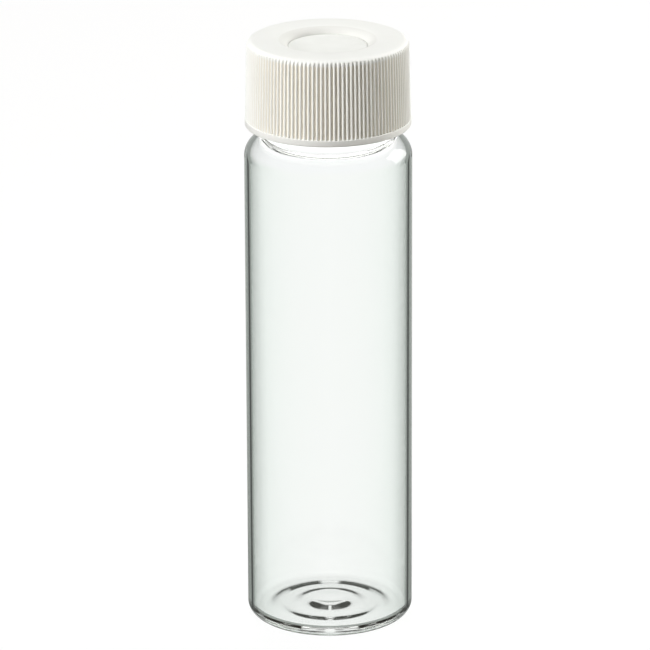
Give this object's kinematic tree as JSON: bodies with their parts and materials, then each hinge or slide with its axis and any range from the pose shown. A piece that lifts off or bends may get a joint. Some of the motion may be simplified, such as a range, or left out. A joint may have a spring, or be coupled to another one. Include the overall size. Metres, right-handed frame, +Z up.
{
  "type": "glass sample vial with screw cap",
  "caption": "Tall clear glass sample vial with a ribbed white screw cap, open at the top over a white septum.",
  "frame": {"origin": "on the vial's axis, at the level of the surface that it stands on", "axes": "+Z up the vial's axis, towards the cap"},
  "size_m": [0.0274, 0.0274, 0.0996],
  "materials": {
    "glass": "clear, fire-polished",
    "septum": "matt, soft white",
    "cap": "moulded, satin white"
  },
  "bodies": {
    "vial": {"vial": "glass"},
    "septum": {"septum": "septum"},
    "cap": {"cap": "cap"}
  },
  "joints": [
    {"name": "cap_lift", "type": "slide", "parent": "vial", "child": "septum", "axis": [0, 0, 1], "range_m": [0, 0.01271]},
    {"name": "cap_turn", "type": "hinge", "parent": "septum", "child": "cap", "pos_m": [0, 0, 0.0855], "axis": [0, 0, 1], "range_deg": [0, 1440]}
  ],
  "couplings": [
    {"joint": "cap_lift", "follows": "cap_turn", "m_per_rad": 0.00050532}
  ]
}
